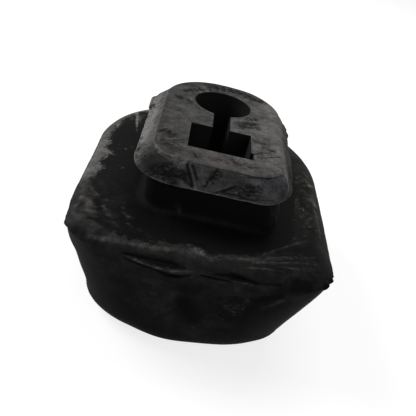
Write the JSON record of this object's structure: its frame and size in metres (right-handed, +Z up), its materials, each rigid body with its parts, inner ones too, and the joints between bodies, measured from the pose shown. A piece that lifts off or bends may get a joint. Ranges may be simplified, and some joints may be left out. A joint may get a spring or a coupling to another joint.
{
  "type": "rubber mount",
  "caption": "D-shaped moulded rubber mount: tapered body, flat shoulder, grooved neck and flared head with a keyhole slot.",
  "frame": {"origin": "on the base face, on the axis of the keyhole slot's round bore", "axes": "+Z up through the head, -Y towards the front with the slot's pocket, +X to the right seen from the front"},
  "size_m": [0.0606, 0.0784, 0.0409],
  "materials": {
    "rubber": "matte black moulded rubber with a chalky grey bloom and scuffs"
  },
  "bodies": {
    "root": {"rubber_mount": "rubber"}
  },
  "joints": []
}
